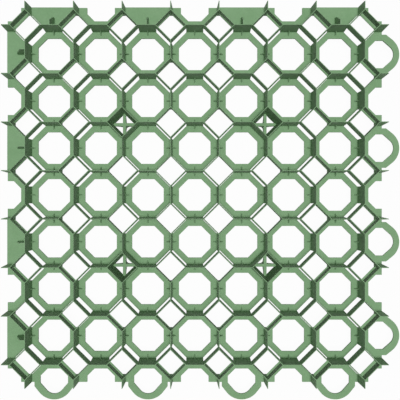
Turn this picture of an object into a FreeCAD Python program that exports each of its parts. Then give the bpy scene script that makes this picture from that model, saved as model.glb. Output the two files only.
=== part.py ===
"""Grass paver grid: one moulded polypropylene square of octagonal and diamond cells.

Straight walls run along the lines between the octagonal cells. Where four cells meet, a
diamond of four slanting walls stands on the crossing, open to its neighbours below. A flange
under the walls carries them, with an octagonal hole in every cell. Two edges have raised plates
with upright lugs, and the other two have loops that slide under the plates of the next grid. Four
of the diamonds are deep sockets with a cross-shaped ground spike below.

Millimetres, +Z up. The origin is the middle of the grid, on the flange's underside.
"""
import FreeCAD, Part
import math
import os
import re
import Sketcher

SIZES = {
    "pitch": (62.5, "distance from cell to cell"),
    "cells_per_side": (7, "whole octagonal cells along one side, an odd number"),
    "edge_gap": (0.5, "how far each side stays back from the module of whole cells"),
    "wall_height": (40, "flange underside to the top of the walls"),
    "flange_thickness": (3.2, "thickness of the flange"),
    "wall_top_thickness": (0.85, "wall thickness at the top"),
    "wall_base_thickness": (3.5, "wall thickness at the flange"),
    "diamond_half": (13.9, "diamond's centre to the middle of its slanting wall"),
    "diamond_narrowing": (0.05, "narrowing of a diamond from its top to its lower edge"),
    "window_height": (22.8, "flange underside to the lower edge of the slanting walls"),
    "window_margin": (0.05, "how far the opening below a diamond reaches past its slanting walls"),
    "window_corner": (20.1, "diamond's centre to the flat end of a straight wall below it"),
    "mouth_ledge": (0.15, "how far the flange reaches in past that opening"),
    "mouth_flare": (1.2, "widening of the hole in the flange from its top to its underside"),
    "hole_half": (21.05, "cell's centre to the side of its octagonal hole"),
    "edge_hole_half": (18.4, "cell's centre to the side of a hole that the edge cuts"),
    "edge_hole_chamfer": (9.8, "corner cut of a hole on the edge"),
    "plate_thickness": (2.5, "thickness of a plate, which lies on the next grid's loop"),
    "lap_gap": (0.2, "room between a plate and the loop under it"),
    "loop_half_width": (26.3, "middle of a loop to its outer side"),
    "loop_shoulder": (5.2, "grid's edge to where the outer side turns in"),
    "loop_centre": (-2.5, "grid's edge to the centre of the loop's outer round"),
    "loop_flare": (0.9, "how far a loop's outer side stands out past its outer round"),
    "loop_hole_shoulder": (0.9, "grid's edge to where the loop's hole turns in"),
    "loop_hole_centre": (2.0, "grid's edge to the centre of the hole's round"),
    "loop_hole_radius": (13.1, "radius of the hole's round"),
    "lug_base_reach": (16.5, "outer wall's middle to the outer end of a lug's foot"),
    "lug_knee_reach": (15.9, "the same at the lug's knee"),
    "lug_top_reach": (6.2, "the same at the lug's top"),
    "lug_knee_height": (14, "flange underside to the lug's knee"),
    "lug_base_thickness": (2.4, "lug's thickness at its foot"),
    "lug_knee_thickness": (2.0, "lug's thickness at its knee"),
    "lug_top_thickness": (1.2, "lug's thickness at its top"),
    "rib_reach": (4.75, "length of a rib along the flange, from the wall's foot"),
    "rib_height": (8.0, "height of a rib above the flange"),
    "rib_thickness": (1.4, "thickness of a rib"),
    "socket_cells_apart": (3, "cells from one socket to the next"),
    "socket_bottom_half": (10.1, "socket's centre to its side at the flange underside"),
    "web_top": (4.0, "flange underside to the top of a spike's crossed webs"),
    "web_thickness": (4.0, "thickness of a spike's webs"),
    "web_half_width": (17.0, "spike's axis to the end of a web, under the flange"),
    "spike_length": (21.0, "flange underside to the spike's tip"),
    "spike_tip_half": (2.4, "half the width of the spike's blunt tip"),
    "spike_edge_radius": (22.0, "radius of the hollow edge of a spike"),
}
NODE = "paver_grid"
UP = FreeCAD.Vector(0, 0, 1)
UPRIGHT = FreeCAD.Rotation(FreeCAD.Vector(1, 0, 0), 90)
DIAMOND_TURN = 45

doc = FreeCAD.newDocument("grass_paver_grid")


def make_sheet():
    """Put the driving dimensions into a sheet, one row each: name, value, meaning."""
    sheet = doc.addObject("Spreadsheet::Sheet", "Sizes")
    for row, (alias, (value, meaning)) in enumerate(SIZES.items(), start=1):
        sheet.set(f"A{row}", alias)
        sheet.set(f"B{row}", str(value))
        sheet.set(f"C{row}", meaning)
        sheet.setAlias(f"B{row}", alias)
    doc.recompute()
    return sheet


sheet = make_sheet()
ALIAS = re.compile(r"\b(" + "|".join(SIZES) + r")\b")

# Lengths that several features share, as expressions of the sheet's names.
HALF_GRID = "((cells_per_side + 1) / 2 * pitch)"
CELL_BASE = "((pitch - wall_base_thickness) / 2)"
CELL_TOP = "((pitch - wall_top_thickness) / 2)"
SLANT_BASE = "(pitch / sqrt(2) - diamond_half - wall_base_thickness / 2)"
SLANT_TOP = "(pitch / sqrt(2) - diamond_half - wall_top_thickness / 2)"
CORE_HEIGHT = "(wall_height - flange_thickness)"
WALL_SLOPE = f"((wall_base_thickness - wall_top_thickness) / 2 / {CORE_HEIGHT})"
WINDOW_HALF = "(diamond_half + wall_base_thickness / 2 + window_margin)"
PLATE_BOTTOM = "(flange_thickness + lap_gap)"
PLATE_TOP = f"({PLATE_BOTTOM} + plate_thickness)"
LOOP_RADIUS = "(loop_half_width - loop_flare)"


def bound(text):
    """Turn the sheet's names in an expression into references to the sheet."""
    return ALIAS.sub(r"Sizes.\1", text)


def size(text):
    """Work out an expression of the sheet's names as a plain number."""
    return float(sheet.evalExpression(bound(text)))


def bind(feature, **settings):
    """Bind a feature's properties to expressions; two underscores stand for a dot."""
    for name, text in settings.items():
        feature.setExpression(name.replace("__", "."), bound(text))


def about_z(degrees):
    """Rotation about the upright axis."""
    return FreeCAD.Rotation(UP, degrees)


def wedge(name, level, foot, top, height, turn=0):
    """A block on a level that narrows upwards, from a foot rectangle to a top one.

    Each rectangle is four expressions: x from and to, then y from and to.
    """
    feature = doc.addObject("Part::Wedge", name)
    feature.Placement.Rotation = about_z(turn) * UPRIGHT
    limits = {"Xmin": foot[0], "Xmax": foot[1], "Zmin": f"-({foot[3]})", "Zmax": f"-({foot[2]})",
              "X2min": top[0], "X2max": top[1], "Z2min": f"-({top[3]})", "Z2max": f"-({top[2]})",
              "Ymin": "0", "Ymax": height}
    for limit, text in limits.items():
        setattr(feature, limit, size(text))
    bind(feature, Placement__Base__z=level, **limits)
    return feature


def around(half):
    """Rectangle of a square block about its own axis."""
    return (f"-({half})", half, f"-({half})", half)


def combine(kind, name, base, tool):
    """Cut, fuse or intersect two objects."""
    feature = doc.addObject(f"Part::{kind}", name)
    feature.Base = base
    feature.Tool = tool
    feature.Refine = False
    return feature


def new_sketch(name, level="0", rotation=FreeCAD.Rotation()):
    """Start an empty sketch on a level, or turned upright."""
    sketch = doc.addObject("Sketcher::SketchObject", name)
    sketch.Placement.Rotation = rotation
    bind(sketch, Placement__Base__z=level)
    return sketch


def pin(sketch, edge, end, x, y):
    """Hold a point of a sketch's edge at two expressions from the sketch's origin."""
    for kind, axis, text in (("DistanceX", -2, x), ("DistanceY", -1, y)):
        if text == "0":
            sketch.addConstraint(Sketcher.Constraint("PointOnObject", edge, end, axis))
            continue
        index = sketch.addConstraint(Sketcher.Constraint(kind, -1, 1, edge, end, size(text)))
        sketch.setExpression(f"Constraints[{index}]", bound(text))


def hold_radius(sketch, arc, text):
    """Hold the radius of a sketch's arc at an expression."""
    index = sketch.addConstraint(Sketcher.Constraint("Radius", arc, size(text)))
    sketch.setExpression(f"Constraints[{index}]", bound(text))


def join(sketch, kind, first, first_end, second, second_end):
    """Make the ends of two of a sketch's edges coincide, or meet as tangents."""
    sketch.addConstraint(Sketcher.Constraint(kind, first, first_end, second, second_end))


def add_polygon(sketch, corners):
    """Draw a closed polygon through corners given as pairs of expressions."""
    points = [FreeCAD.Vector(size(x), size(y), 0) for x, y in corners]
    for start, end in zip(points, points[1:] + points[:1]):
        sketch.addGeometry(Part.LineSegment(start, end))
    for step, (x, y) in enumerate(corners):
        join(sketch, "Coincident", (step - 1) % len(corners), 2, step, 1)
        pin(sketch, step, 1, x, y)


def octagon(half, side):
    """Corners of an octagon: flats at half from the middle, each twice side long."""
    near, far = (f"-({half})", half)
    low, high = (f"-({side})", side)
    return [(far, low), (far, high), (high, far), (low, far),
            (near, high), (near, low), (low, near), (high, near)]


def extrude(name, sketch, length, symmetric=False):
    """Give a sketch a thickness along its own normal."""
    feature = doc.addObject("Part::Extrusion", name)
    feature.Base = sketch
    feature.DirMode = "Normal"
    feature.Solid = True
    feature.Symmetric = symmetric
    bind(feature, LengthFwd=length)
    return feature


def octagonal_block(name, level, half, side, height):
    """An upright octagonal block."""
    sketch = new_sketch(f"{name}_outline", level)
    add_polygon(sketch, octagon(half, side))
    return extrude(name, sketch, height)


def repeat(name, source, spots):
    """Copies of an object, one at each spot: cells along X, cells along Y, degrees about Z."""
    doc.recompute()
    pitch = size("pitch")
    feature = doc.addObject("Part::Feature", name)
    moves = [FreeCAD.Placement(FreeCAD.Vector(x * pitch, y * pitch, 0), about_z(turn))
             for x, y, turn in spots]
    feature.Shape = Part.makeCompound([source.Shape.transformed(move.Matrix) for move in moves])
    return feature


# Where things stand, counted in cells from the middle of the grid.
EDGE = (SIZES["cells_per_side"][0] + 1) / 2
RIM = EDGE - 0.5
INNER = [step - EDGE + 1 for step in range(SIZES["cells_per_side"][0])]
LINKED = INNER[::2]
UNLINKED = INNER[1::2]
CROSSINGS = [step - RIM for step in range(SIZES["cells_per_side"][0] + 1)]
SOCKET = SIZES["socket_cells_apart"][0] / 2
SOCKETS = [(x, y, 0) for x in (-SOCKET, SOCKET) for y in (-SOCKET, SOCKET)]


def make_cell_cores():
    """Tapered octagonal cores of every cell, each with the hole in the flange below it."""
    square_core = wedge("cell_core_square", "flange_thickness", around(CELL_BASE), around(CELL_TOP),
                        CORE_HEIGHT)
    slant_core = wedge("cell_core_slant", "flange_thickness", around(SLANT_BASE), around(SLANT_TOP),
                       CORE_HEIGHT, DIAMOND_TURN)
    core = combine("Common", "cell_core", square_core, slant_core)
    through = ("-flange_thickness", "3 * flange_thickness")
    hole = octagonal_block("hole", through[0], "hole_half", "hole_half * tan(22.5 deg)", through[1])
    edge_hole = octagonal_block("edge_hole", through[0], "edge_hole_half",
                                "(edge_hole_half - edge_hole_chamfer)", through[1])
    fin_end = "(window_corner - mouth_ledge - window_margin)"
    pocket = octagonal_block("plate_pocket", "-flange_thickness", CELL_BASE, f"(pitch / 2 - {fin_end})",
                             "2 * flange_thickness")
    inner = [(x, y, 0) for x in INNER for y in INNER]
    corners = [(x, y, 0) for x in (-EDGE, EDGE) for y in (-EDGE, EDGE)]
    open_edges = [(EDGE, y, 0) for y in INNER] + [(x, -EDGE, 0) for x in INNER]
    open_edges += [(-EDGE, y, 0) for y in UNLINKED] + [(x, EDGE, 0) for x in UNLINKED]
    plates = [(-EDGE, y, 0) for y in LINKED] + [(x, EDGE, 0) for x in LINKED]
    return [repeat("inner_cells", combine("Fuse", "inner_cell", core, hole), inner),
            repeat("edge_cells", combine("Fuse", "edge_cell", core, edge_hole), corners + open_edges),
            repeat("plate_cells", combine("Fuse", "plate_cell", core, pocket), plates)]


def window_block(name, half, turn):
    """A square window from the flange up to the slanting walls, with a flaring mouth in the flange."""
    mouth_half = f"({half} - mouth_ledge)"
    window = wedge(f"{name}_window", "flange_thickness", around(half), around(half),
                   "window_height - flange_thickness", turn)
    mouth = wedge(f"{name}_mouth", "0", around(f"({mouth_half} + mouth_flare)"), around(mouth_half),
                  "flange_thickness", turn)
    return combine("Fuse", f"{name}_window_and_mouth", window, mouth)


def make_diamond_cores():
    """Cores of the diamonds: a shaft and, below it, a wider window whose corners the wall ends cut off."""
    inner_top = "(diamond_half - wall_top_thickness / 2)"
    shaft = wedge("diamond_shaft", "window_height", around(f"({inner_top} - diamond_narrowing)"),
                  around(inner_top), "wall_height - window_height", DIAMOND_TURN)
    opening = combine("Common", "opening", window_block("slanting", WINDOW_HALF, DIAMOND_TURN),
                      window_block("straight", "window_corner", 0))
    socket = wedge("socket_core", "0", around("socket_bottom_half"), around(inner_top), "wall_height",
                   DIAMOND_TURN)
    crossings = [(x, y, 0) for x in CROSSINGS for y in CROSSINGS]
    plain = [spot for spot in crossings if spot not in SOCKETS]
    return [repeat("diamonds", combine("Fuse", "diamond_core", shaft, opening), plain),
            repeat("socket_cores", socket, SOCKETS)]


def make_spike_web(name, turn):
    """One upright web of a ground spike: wide under the flange, hollow edges, a blunt tip."""
    sketch = new_sketch(f"{name}_outline", "0", about_z(turn) * UPRIGHT)
    wide = size("web_half_width")
    narrow = size("spike_tip_half")
    top = size("web_top")
    tip = -size("spike_length")
    radius = size("spike_edge_radius")
    chord = FreeCAD.Vector(wide - narrow, -tip, 0)
    outward = FreeCAD.Vector(chord.y, -chord.x, 0).normalize()
    middle = FreeCAD.Vector((wide + narrow) / 2, tip / 2, 0)
    centre = middle + outward * math.sqrt(radius ** 2 - (chord.Length / 2) ** 2)
    start = math.atan2(-centre.y, wide - centre.x) % math.tau
    end = math.atan2(tip - centre.y, narrow - centre.x) % math.tau
    mirrored = FreeCAD.Vector(-centre.x, centre.y, 0)
    corners = [FreeCAD.Vector(x, y, 0) for x, y in
               ((narrow, tip), (-narrow, tip), (-wide, 0), (-wide, top), (wide, top), (wide, 0))]
    sketch.addGeometry(Part.ArcOfCircle(Part.Circle(centre, UP, radius), start, end))
    sketch.addGeometry(Part.LineSegment(corners[0], corners[1]))
    sketch.addGeometry(Part.ArcOfCircle(Part.Circle(mirrored, UP, radius), math.pi - end, math.pi - start))
    for first, second in zip(corners[2:], corners[3:]):
        sketch.addGeometry(Part.LineSegment(first, second))
    edges = range(sketch.GeometryCount)
    for edge in edges:
        join(sketch, "Coincident", edge, 2, (edge + 1) % len(edges), 1)
    right_arc, tip_edge, left_arc, left_end, _, right_end = edges
    pin(sketch, tip_edge, 1, "spike_tip_half", "-spike_length")
    pin(sketch, tip_edge, 2, "-spike_tip_half", "-spike_length")
    pin(sketch, left_end, 1, "-web_half_width", "0")
    pin(sketch, left_end, 2, "-web_half_width", "web_top")
    pin(sketch, right_end, 1, "web_half_width", "web_top")
    pin(sketch, right_end, 2, "web_half_width", "0")
    hold_radius(sketch, right_arc, "spike_edge_radius")
    hold_radius(sketch, left_arc, "spike_edge_radius")
    return extrude(name, sketch, "web_thickness", symmetric=True)


def make_spikes():
    """A ground spike of two crossed webs under each socket."""
    spike = combine("Fuse", "spike", make_spike_web("spike_web_x", 0), make_spike_web("spike_web_y", 90))
    return repeat("spikes", spike, SOCKETS)


def tangent_point(corner, centre, radius):
    """Where the line from a corner outside touches a circle, on its outward side."""
    away = corner - centre
    turn = math.atan2(away.y, away.x) - math.acos(radius / away.Length)
    return centre + FreeCAD.Vector(math.cos(turn), math.sin(turn), 0) * radius


def add_hook(sketch, half, shoulder, centre, radius):
    """Draw a hook from the grid's edge out and back, and return its first and last edge.

    It leaves the edge at half on one side of the axis, runs out to the shoulder, turns in along
    a line and goes round a tangent arc to the other side.
    """
    corner = FreeCAD.Vector(size(shoulder), size(half), 0)
    middle = FreeCAD.Vector(size(centre), 0, 0)
    touch = tangent_point(corner, middle, size(radius))
    right = [FreeCAD.Vector(size("-edge_gap"), corner.y, 0), corner, touch]
    left = [FreeCAD.Vector(point.x, -point.y, 0) for point in right]
    angle = math.atan2(touch.y, touch.x - middle.x)
    first = sketch.GeometryCount
    sketch.addGeometry(Part.LineSegment(left[0], left[1]))
    sketch.addGeometry(Part.LineSegment(left[1], left[2]))
    sketch.addGeometry(Part.ArcOfCircle(Part.Circle(middle, UP, size(radius)), -angle, angle))
    sketch.addGeometry(Part.LineSegment(right[2], right[1]))
    sketch.addGeometry(Part.LineSegment(right[1], right[0]))
    left_side, left_slope, arc, right_slope, right_side = range(first, sketch.GeometryCount)
    pin(sketch, left_side, 1, "-edge_gap", f"-{half}")
    pin(sketch, left_side, 2, shoulder, f"-{half}")
    pin(sketch, arc, 3, centre, "0")
    pin(sketch, right_side, 1, shoulder, half)
    pin(sketch, right_side, 2, "-edge_gap", half)
    hold_radius(sketch, arc, radius)
    join(sketch, "Coincident", left_side, 2, left_slope, 1)
    join(sketch, "Tangent", left_slope, 2, arc, 1)
    join(sketch, "Tangent", arc, 2, right_slope, 1)
    join(sketch, "Coincident", right_slope, 2, right_side, 1)
    return left_side, right_side


def make_loops():
    """A loop at every second cell of the +X and -Y edges, as thick as the flange."""
    sketch = new_sketch("loop_outline")
    outer = add_hook(sketch, "loop_half_width", "loop_shoulder", "loop_centre", LOOP_RADIUS)
    inner = add_hook(sketch, "edge_hole_half", "loop_hole_shoulder", "loop_hole_centre", "loop_hole_radius")
    for outer_edge, inner_edge, end in zip(outer, inner, (1, 2)):
        ends = [sketch.getPoint(edge, end) for edge in (outer_edge, inner_edge)]
        link = sketch.addGeometry(Part.LineSegment(*ends))
        join(sketch, "Coincident", link, 1, outer_edge, end)
        join(sketch, "Coincident", link, 2, inner_edge, end)
    loop = extrude("loop", sketch, "flange_thickness")
    return repeat("loops", loop, [(EDGE, y, 0) for y in LINKED] + [(x, -EDGE, -90) for x in LINKED])


def make_plates():
    """A raised plate at every second cell of the -X and +Y edges, between the outer wall and two fins."""
    sketch = new_sketch("plate_outline", PLATE_BOTTOM)
    half = "(pitch / 2)"
    side = f"(pitch - {WINDOW_HALF} * sqrt(2) - {half})"
    add_polygon(sketch, [("edge_gap", f"-{half}"), (side, f"-{half}"), (half, f"-{side}"),
                         (half, side), (side, half), ("edge_gap", half)])
    plate = extrude("plate", sketch, "plate_thickness")
    return repeat("plates", plate, [(-EDGE, y, 0) for y in LINKED] + [(x, EDGE, -90) for x in LINKED])


def make_lugs():
    """An upright lug on every plate of the -X and +Y edges, out from the outer wall."""
    outlines = [(f"-lug_{part}_reach", "0", f"-lug_{part}_thickness / 2", f"lug_{part}_thickness / 2")
                for part in ("base", "knee", "top")]
    foot = wedge("lug_foot", PLATE_TOP, outlines[0], outlines[1], f"lug_knee_height - {PLATE_TOP}")
    blade = wedge("lug_blade", "lug_knee_height", outlines[1], outlines[2], "wall_height - lug_knee_height")
    lug = combine("Fuse", "lug", foot, blade)
    return repeat("lugs", lug, [(-RIM, y, 0) for y in LINKED] + [(x, RIM, -90) for x in LINKED])


def make_ribs():
    """A small rib at the foot of each straight wall of every cell, pointing at the cell's centre."""
    sketch = new_sketch("rib_outline", "0", UPRIGHT)
    high = "(flange_thickness + rib_height)"
    add_polygon(sketch, [(f"{CELL_BASE} - rib_reach", "flange_thickness"),
                         ("pitch / 2", "flange_thickness"),
                         ("pitch / 2", high),
                         (f"{CELL_BASE} + rib_height * {WALL_SLOPE}", high)])
    rib = extrude("rib", sketch, "rib_thickness", symmetric=True)
    return repeat("ribs", rib, [(x, y, turn) for x in INNER for y in INNER for turn in (0, 90, 180, 270)])


def solids(groups):
    """All the solids of several groups of copies."""
    return [solid for group in groups for solid in group.Shape.Solids]


def make_grid():
    """Cut the cores out of a solid block and add what stands out from it."""
    block = doc.addObject("Part::Box", "block")
    half_side = f"({HALF_GRID} - edge_gap)"
    side = f"2 * {half_side}"
    bind(block, Length=side, Width=side, Height="wall_height",
         Placement__Base__x=f"-{half_side}", Placement__Base__y=f"-{half_side}")
    doc.recompute()
    walls = block.Shape.cut(solids(make_cell_cores()))
    opened = walls.cut(solids(make_diamond_cores()))
    grid = doc.addObject("Part::Feature", NODE)
    added = [make_spikes(), make_loops(), make_plates(), make_lugs(), make_ribs()]
    grid.Shape = opened.fuse(solids(added)).Solids[0]
    grid.Label = NODE
    return grid


def check_and_write(grid):
    """Stop on any failed object or bad shape, then write the solid."""
    doc.recompute()
    failed = [item.Name for item in doc.Objects if {"Invalid", "Error"} & set(item.State)]
    if failed:
        raise RuntimeError(f"objects failed: {failed}")
    shape = grid.Shape
    if shape.isNull() or not shape.isValid() or len(shape.Solids) != 1:
        raise RuntimeError(f"{NODE} is not one valid solid")
    os.makedirs("parts", exist_ok=True)
    shape.exportStep(f"parts/{NODE}.step")
    print(f"{NODE}: {len(shape.Faces)} faces, {shape.Volume / 1000:.1f} cm3, {shape.BoundBox}")


check_and_write(make_grid())
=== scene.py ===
"""Looks of the grass paver grid: moulded polypropylene, a pale floor, soft light from above.

The solid comes from model.glb, in metres, with +Z up and the flange's underside at zero.
"""
import math

import bpy
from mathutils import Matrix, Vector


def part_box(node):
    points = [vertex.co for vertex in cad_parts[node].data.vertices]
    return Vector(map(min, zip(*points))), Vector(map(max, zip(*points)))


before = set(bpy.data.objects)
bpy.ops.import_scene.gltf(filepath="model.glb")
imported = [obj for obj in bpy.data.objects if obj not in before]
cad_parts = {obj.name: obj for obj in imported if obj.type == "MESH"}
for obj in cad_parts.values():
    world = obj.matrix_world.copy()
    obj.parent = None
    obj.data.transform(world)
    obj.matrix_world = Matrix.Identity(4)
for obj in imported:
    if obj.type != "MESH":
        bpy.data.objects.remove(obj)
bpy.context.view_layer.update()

MM = 0.001
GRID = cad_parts["paver_grid"]

# Finish of the edges. An edge stays sharp where it meets one that is too short to round.
EDGE_ROUND = 0.25 * MM
ROUND_SEGMENTS = 2
SHORT_EDGE = 0.5 * MM
SHARP_ANGLE = math.radians(30)
WELD_REACH = 0.01 * MM

# Sizes of the patterns in the plastic.
PIGMENT_CLOUD = 45 * MM
PIGMENT_MOTTLE = 3.5 * MM
DRAG_MARK_WIDTH = 1.6 * MM
DRAG_MARK_LENGTH = 24 * MM
POLISH_PATCH = 9 * MM
# Reach of the paled edges, partly wear and partly painted highlight.
EDGE_RUB_AND_HIGHLIGHT = 0.5 * MM
# Reach of the painted shade in the corners.
CORNER_SHADE_REACH = 1.8 * MM
# The mould's real grain is about 0.3 mm, too fine to show: it is drawn this coarse instead.
MOULD_GRAIN = 0.9 * MM
GRAIN_DEPTH = 0.03 * MM

# Colours, and how far the patterns change them.
PIGMENT_DEEP = "#749B6F"
PIGMENT_PALE = "#85A980"
# Painted shade that darkens the corners.
CORNER_SHADE_COLOUR = "#4A5F45"
# Paler edge colour, partly wear and partly painted highlight.
RUB_AND_HIGHLIGHT_COLOUR = "#A6C0A1"
FLOOR_GREY = "#B4B4B2"
WHITE = "#FFFFFF"
MOTTLE_SHADES = (0.94, 1.06)
DRAG_SHADES = (0.92, 1.08)
MOST_CORNER_SHADE = 0.15
MOST_RUB_AND_HIGHLIGHT = 0.35

# Where the painted corner shade and the edge wear with its painted highlight start and where they are at
# their most.
UNSHADED_OPENNESS = 0.9
FULLY_SHADED_OPENNESS = 0.4
FLAT_FACING = 0.99
EDGE_FACING = 0.85

# How moulded polypropylene shines.
SMOOTHEST = 0.6
ROUGHEST = 0.84
POLYPROPYLENE_IOR = 1.49
SPECULAR_LEVEL = 0.4

# Floor and light.
FLOOR_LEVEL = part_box("paver_grid")[0].z
FLOOR_HALF_SIDE = 6.0
FLOOR_WHITE_SHARE = 0.97
LAMP_STRENGTH = 2.4
LAMP_SPREAD = math.radians(12)
LAMP_TILT = (0.026, 0.012, 0)
STUDIO_FILL = 0.12

# Camera, with the focal length in pixels of the frame.
CAMERA_PLACE = (-0.0038, -0.0060, 0.997)
CAMERA_SHIFT = (0.02023, -0.00147)
FRAME_PIXELS = 400
FOCAL_PIXELS = 745.1
SENSOR_WIDTH = 36


def linear(hex_colour):
    """Turn an sRGB hex colour into linear RGB with full alpha."""
    channels = [int(hex_colour[start:start + 2], 16) / 255 for start in (1, 3, 5)]
    return [c / 12.92 if c <= 0.04045 else ((c + 0.055) / 1.055) ** 2.4 for c in channels] + [1.0]


def node(tree, kind, **settings):
    """Add a node and set it up: a setting is one of its properties, or a socket's value or link.

    An underscore stands for a space in a socket's name, and in_2 is the socket with number 2.
    """
    made = tree.nodes.new(kind)
    for name, value in settings.items():
        if hasattr(made, name):
            setattr(made, name, value)
            continue
        socket = made.inputs[int(name[3:]) if name.startswith("in_") else name.replace("_", " ")]
        if isinstance(value, bpy.types.NodeSocket):
            tree.links.new(value, socket)
        else:
            socket.default_value = value
    return made


def new_material(name):
    """Start an empty material and return it with its node tree."""
    material = bpy.data.materials.new(name)
    material.use_nodes = True
    material.node_tree.nodes.clear()
    return material, material.node_tree


def seen_white(tree):
    """Share of white that a ray sees: all for camera, mirror and glass rays, none for light's bounces."""
    path = node(tree, "ShaderNodeLightPath").outputs
    mirrored = node(tree, "ShaderNodeMath", operation="MAXIMUM", in_0=path["Is Camera Ray"],
                    in_1=path["Is Glossy Ray"]).outputs[0]
    return node(tree, "ShaderNodeMath", operation="MAXIMUM", in_0=mirrored,
                in_1=path["Is Transmission Ray"]).outputs[0]


def moulded_polypropylene():
    """Injection-moulded polypropylene, coloured through: a waxy, matte grey-green.

    The pigment clouds a little along the melt's flow. The spark-eroded mould leaves a fine grain
    and upright drag marks on the walls. The edges are paled, partly as handling wear and partly as
    a painted highlight, and the corners are darkened with painted shade.
    """
    material, tree = new_material("moulded_polypropylene_grey_green")
    place = node(tree, "ShaderNodeTexCoord").outputs["Object"]
    clouds = node(tree, "ShaderNodeTexNoise", Vector=place, Scale=1 / PIGMENT_CLOUD, Detail=3.0)
    mottle = node(tree, "ShaderNodeTexNoise", Vector=place, Scale=1 / PIGMENT_MOTTLE, Detail=2.0)
    upright = node(tree, "ShaderNodeMapping", Vector=place,
                   Scale=(1.0, 1.0, DRAG_MARK_WIDTH / DRAG_MARK_LENGTH)).outputs[0]
    drag = node(tree, "ShaderNodeTexNoise", Vector=upright, Scale=1 / DRAG_MARK_WIDTH, Detail=2.0)
    polish = node(tree, "ShaderNodeTexNoise", Vector=place, Scale=1 / POLISH_PATCH, Detail=2.0)
    grain = node(tree, "ShaderNodeTexNoise", Vector=place, Scale=1 / MOULD_GRAIN, Detail=1.0)

    pigment = node(tree, "ShaderNodeMix", data_type="RGBA", in_0=clouds.outputs[0],
                   in_6=linear(PIGMENT_DEEP), in_7=linear(PIGMENT_PALE)).outputs[2]
    speckle = node(tree, "ShaderNodeMapRange", Value=mottle.outputs[0], To_Min=MOTTLE_SHADES[0],
                   To_Max=MOTTLE_SHADES[1]).outputs[0]
    streaks = node(tree, "ShaderNodeMapRange", Value=drag.outputs[0], To_Min=DRAG_SHADES[0],
                   To_Max=DRAG_SHADES[1]).outputs[0]
    shade = node(tree, "ShaderNodeMath", operation="MULTIPLY", in_0=speckle, in_1=streaks).outputs[0]
    body = node(tree, "ShaderNodeMix", data_type="RGBA", blend_type="MULTIPLY", in_0=1.0, in_6=pigment,
                in_7=shade).outputs[2]

    # Painted shade: the corners darken where ambient occlusion finds walls close by.
    open_air = node(tree, "ShaderNodeAmbientOcclusion", samples=4, only_local=True, Distance=CORNER_SHADE_REACH)
    corner_shade = node(tree, "ShaderNodeMapRange", Value=open_air.outputs["AO"], From_Min=UNSHADED_OPENNESS,
                From_Max=FULLY_SHADED_OPENNESS, To_Max=MOST_CORNER_SHADE).outputs[0]
    corner_shaded = node(tree, "ShaderNodeMix", data_type="RGBA", in_0=corner_shade, in_6=body,
                 in_7=linear(CORNER_SHADE_COLOUR)).outputs[2]
    # Edge wear and painted highlight: the edges pale where the bevel normal turns from the face's normal.
    rounded = node(tree, "ShaderNodeBevel", samples=4, Radius=EDGE_RUB_AND_HIGHLIGHT).outputs[0]
    facing = node(tree, "ShaderNodeNewGeometry").outputs["Normal"]
    flatness = node(tree, "ShaderNodeVectorMath", operation="DOT_PRODUCT", in_0=rounded, in_1=facing)
    rub_and_highlight = node(tree, "ShaderNodeMapRange", Value=flatness.outputs["Value"], From_Min=FLAT_FACING,
               From_Max=EDGE_FACING, To_Max=MOST_RUB_AND_HIGHLIGHT).outputs[0]
    colour = node(tree, "ShaderNodeMix", data_type="RGBA", in_0=rub_and_highlight, in_6=corner_shaded,
                  in_7=linear(RUB_AND_HIGHLIGHT_COLOUR)).outputs[2]

    relief = node(tree, "ShaderNodeMath", operation="ADD", in_0=grain.outputs[0], in_1=drag.outputs[0])
    bump = node(tree, "ShaderNodeBump", Strength=1.0, Distance=GRAIN_DEPTH, Height=relief.outputs[0])
    roughness = node(tree, "ShaderNodeMapRange", Value=polish.outputs[0], To_Min=SMOOTHEST,
                     To_Max=ROUGHEST).outputs[0]
    shader = node(tree, "ShaderNodeBsdfPrincipled", Base_Color=colour, Roughness=roughness,
                  IOR=POLYPROPYLENE_IOR, Specular_IOR_Level=SPECULAR_LEVEL, Normal=bump.outputs[0])
    node(tree, "ShaderNodeOutputMaterial", Surface=shader.outputs[0])
    return material


def pale_floor():
    """White floor that keeps a faint shadow of the grid."""
    material, tree = new_material("pale_floor")
    share = node(tree, "ShaderNodeMath", operation="MULTIPLY", in_0=seen_white(tree),
                 in_1=FLOOR_WHITE_SHARE).outputs[0]
    matte = node(tree, "ShaderNodeBsdfDiffuse", Color=linear(FLOOR_GREY)).outputs[0]
    white = node(tree, "ShaderNodeEmission", Color=linear(WHITE), Strength=1.0).outputs[0]
    mix = node(tree, "ShaderNodeMixShader", in_0=share, in_1=matte, in_2=white).outputs[0]
    node(tree, "ShaderNodeOutputMaterial", Surface=mix)
    return material


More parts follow.
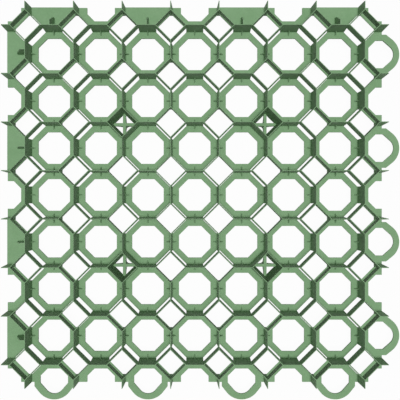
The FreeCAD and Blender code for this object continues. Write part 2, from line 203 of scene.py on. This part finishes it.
def edges_to_round():
    """Node group that gives weight 1 to the edges to round, and 0 to the rest.

    A point is clear when no short edge meets it. A sharp edge is rounded when both its ends are clear.
    """
    tree = bpy.data.node_groups.new("edges_to_round", "GeometryNodeTree")
    for way in ("INPUT", "OUTPUT"):
        tree.interface.new_socket("Geometry", in_out=way, socket_type="NodeSocketGeometry")
    solid = node(tree, "NodeGroupInput").outputs[0]
    ends = node(tree, "GeometryNodeInputMeshEdgeVertices").outputs
    length = node(tree, "ShaderNodeVectorMath", operation="DISTANCE", in_0=ends["Position 1"],
                  in_1=ends["Position 2"]).outputs["Value"]
    short = node(tree, "FunctionNodeCompare", operation="LESS_THAN", in_0=length, in_1=SHORT_EDGE).outputs[0]
    short_edge = node(tree, "GeometryNodeFieldOnDomain", data_type="BOOLEAN", domain="EDGE",
                      Value=short).outputs[0]
    meets_short = node(tree, "GeometryNodeFieldOnDomain", data_type="BOOLEAN", domain="POINT",
                       Value=short_edge).outputs[0]
    clear = node(tree, "FunctionNodeBooleanMath", operation="NOT", in_0=meets_short).outputs[0]
    clear_ends = node(tree, "GeometryNodeFieldOnDomain", data_type="BOOLEAN", domain="POINT",
                      Value=clear).outputs[0]
    angle = node(tree, "GeometryNodeInputMeshEdgeAngle").outputs["Unsigned Angle"]
    sharp = node(tree, "FunctionNodeCompare", operation="GREATER_THAN", in_0=angle,
                 in_1=SHARP_ANGLE).outputs[0]
    rounded = node(tree, "FunctionNodeBooleanMath", operation="AND", in_0=sharp, in_1=clear_ends).outputs[0]
    weighted = node(tree, "GeometryNodeStoreNamedAttribute", data_type="FLOAT", domain="EDGE",
                    Geometry=solid, Name="bevel_weight_edge", Value=rounded).outputs[0]
    node(tree, "NodeGroupOutput", Geometry=weighted)
    return tree


def dress_grid():
    """Weld the solid's faces and round its edges a little."""
    GRID.data.materials.clear()
    GRID.data.materials.append(moulded_polypropylene())
    weld = GRID.modifiers.new("weld", "WELD")
    weld.merge_threshold = WELD_REACH
    weights = GRID.modifiers.new("edges_to_round", "NODES")
    weights.node_group = edges_to_round()
    edges = GRID.modifiers.new("rounded_edges", "BEVEL")
    edges.width = EDGE_ROUND
    edges.segments = ROUND_SEGMENTS
    edges.limit_method = "WEIGHT"
    edges.use_clamp_overlap = False


def lay_floor():
    """Lay a square of floor under the spikes."""
    half = FLOOR_HALF_SIDE
    corners = [(-half, -half), (half, -half), (half, half), (-half, half)]
    mesh = bpy.data.meshes.new("floor")
    mesh.from_pydata([(x, y, FLOOR_LEVEL) for x, y in corners], [], [(0, 1, 2, 3)])
    floor = bpy.data.objects.new("floor", mesh)
    floor.data.materials.append(pale_floor())
    bpy.context.scene.collection.objects.link(floor)


def light_scene():
    """Soft light from almost straight above, and a low even light from all round in a white studio."""
    lamp = bpy.data.lights.new("overhead", "SUN")
    lamp.energy = LAMP_STRENGTH
    lamp.angle = LAMP_SPREAD
    overhead = bpy.data.objects.new("overhead", lamp)
    overhead.rotation_euler = LAMP_TILT
    bpy.context.scene.collection.objects.link(overhead)
    world = bpy.data.worlds.new("studio")
    bpy.context.scene.world = world
    world.use_nodes = True
    tree = world.node_tree
    tree.nodes.clear()
    fill = node(tree, "ShaderNodeBackground", Color=linear(WHITE), Strength=STUDIO_FILL).outputs[0]
    white = node(tree, "ShaderNodeBackground", Color=linear(WHITE), Strength=1.0).outputs[0]
    mix = node(tree, "ShaderNodeMixShader", in_0=seen_white(tree), in_1=fill, in_2=white).outputs[0]
    node(tree, "ShaderNodeOutputWorld", Surface=mix)


def set_camera():
    """Look straight down, as the photograph does, with its framing a little off the middle."""
    camera = bpy.data.cameras.new("camera")
    camera.sensor_width = SENSOR_WIDTH
    camera.lens = FOCAL_PIXELS / FRAME_PIXELS * SENSOR_WIDTH
    camera.shift_x, camera.shift_y = CAMERA_SHIFT
    seen = bpy.data.objects.new("camera", camera)
    seen.location = CAMERA_PLACE
    bpy.context.scene.collection.objects.link(seen)
    bpy.context.scene.camera = seen


dress_grid()
lay_floor()
light_scene()
set_camera()
bpy.context.scene.view_settings.view_transform = "Standard"
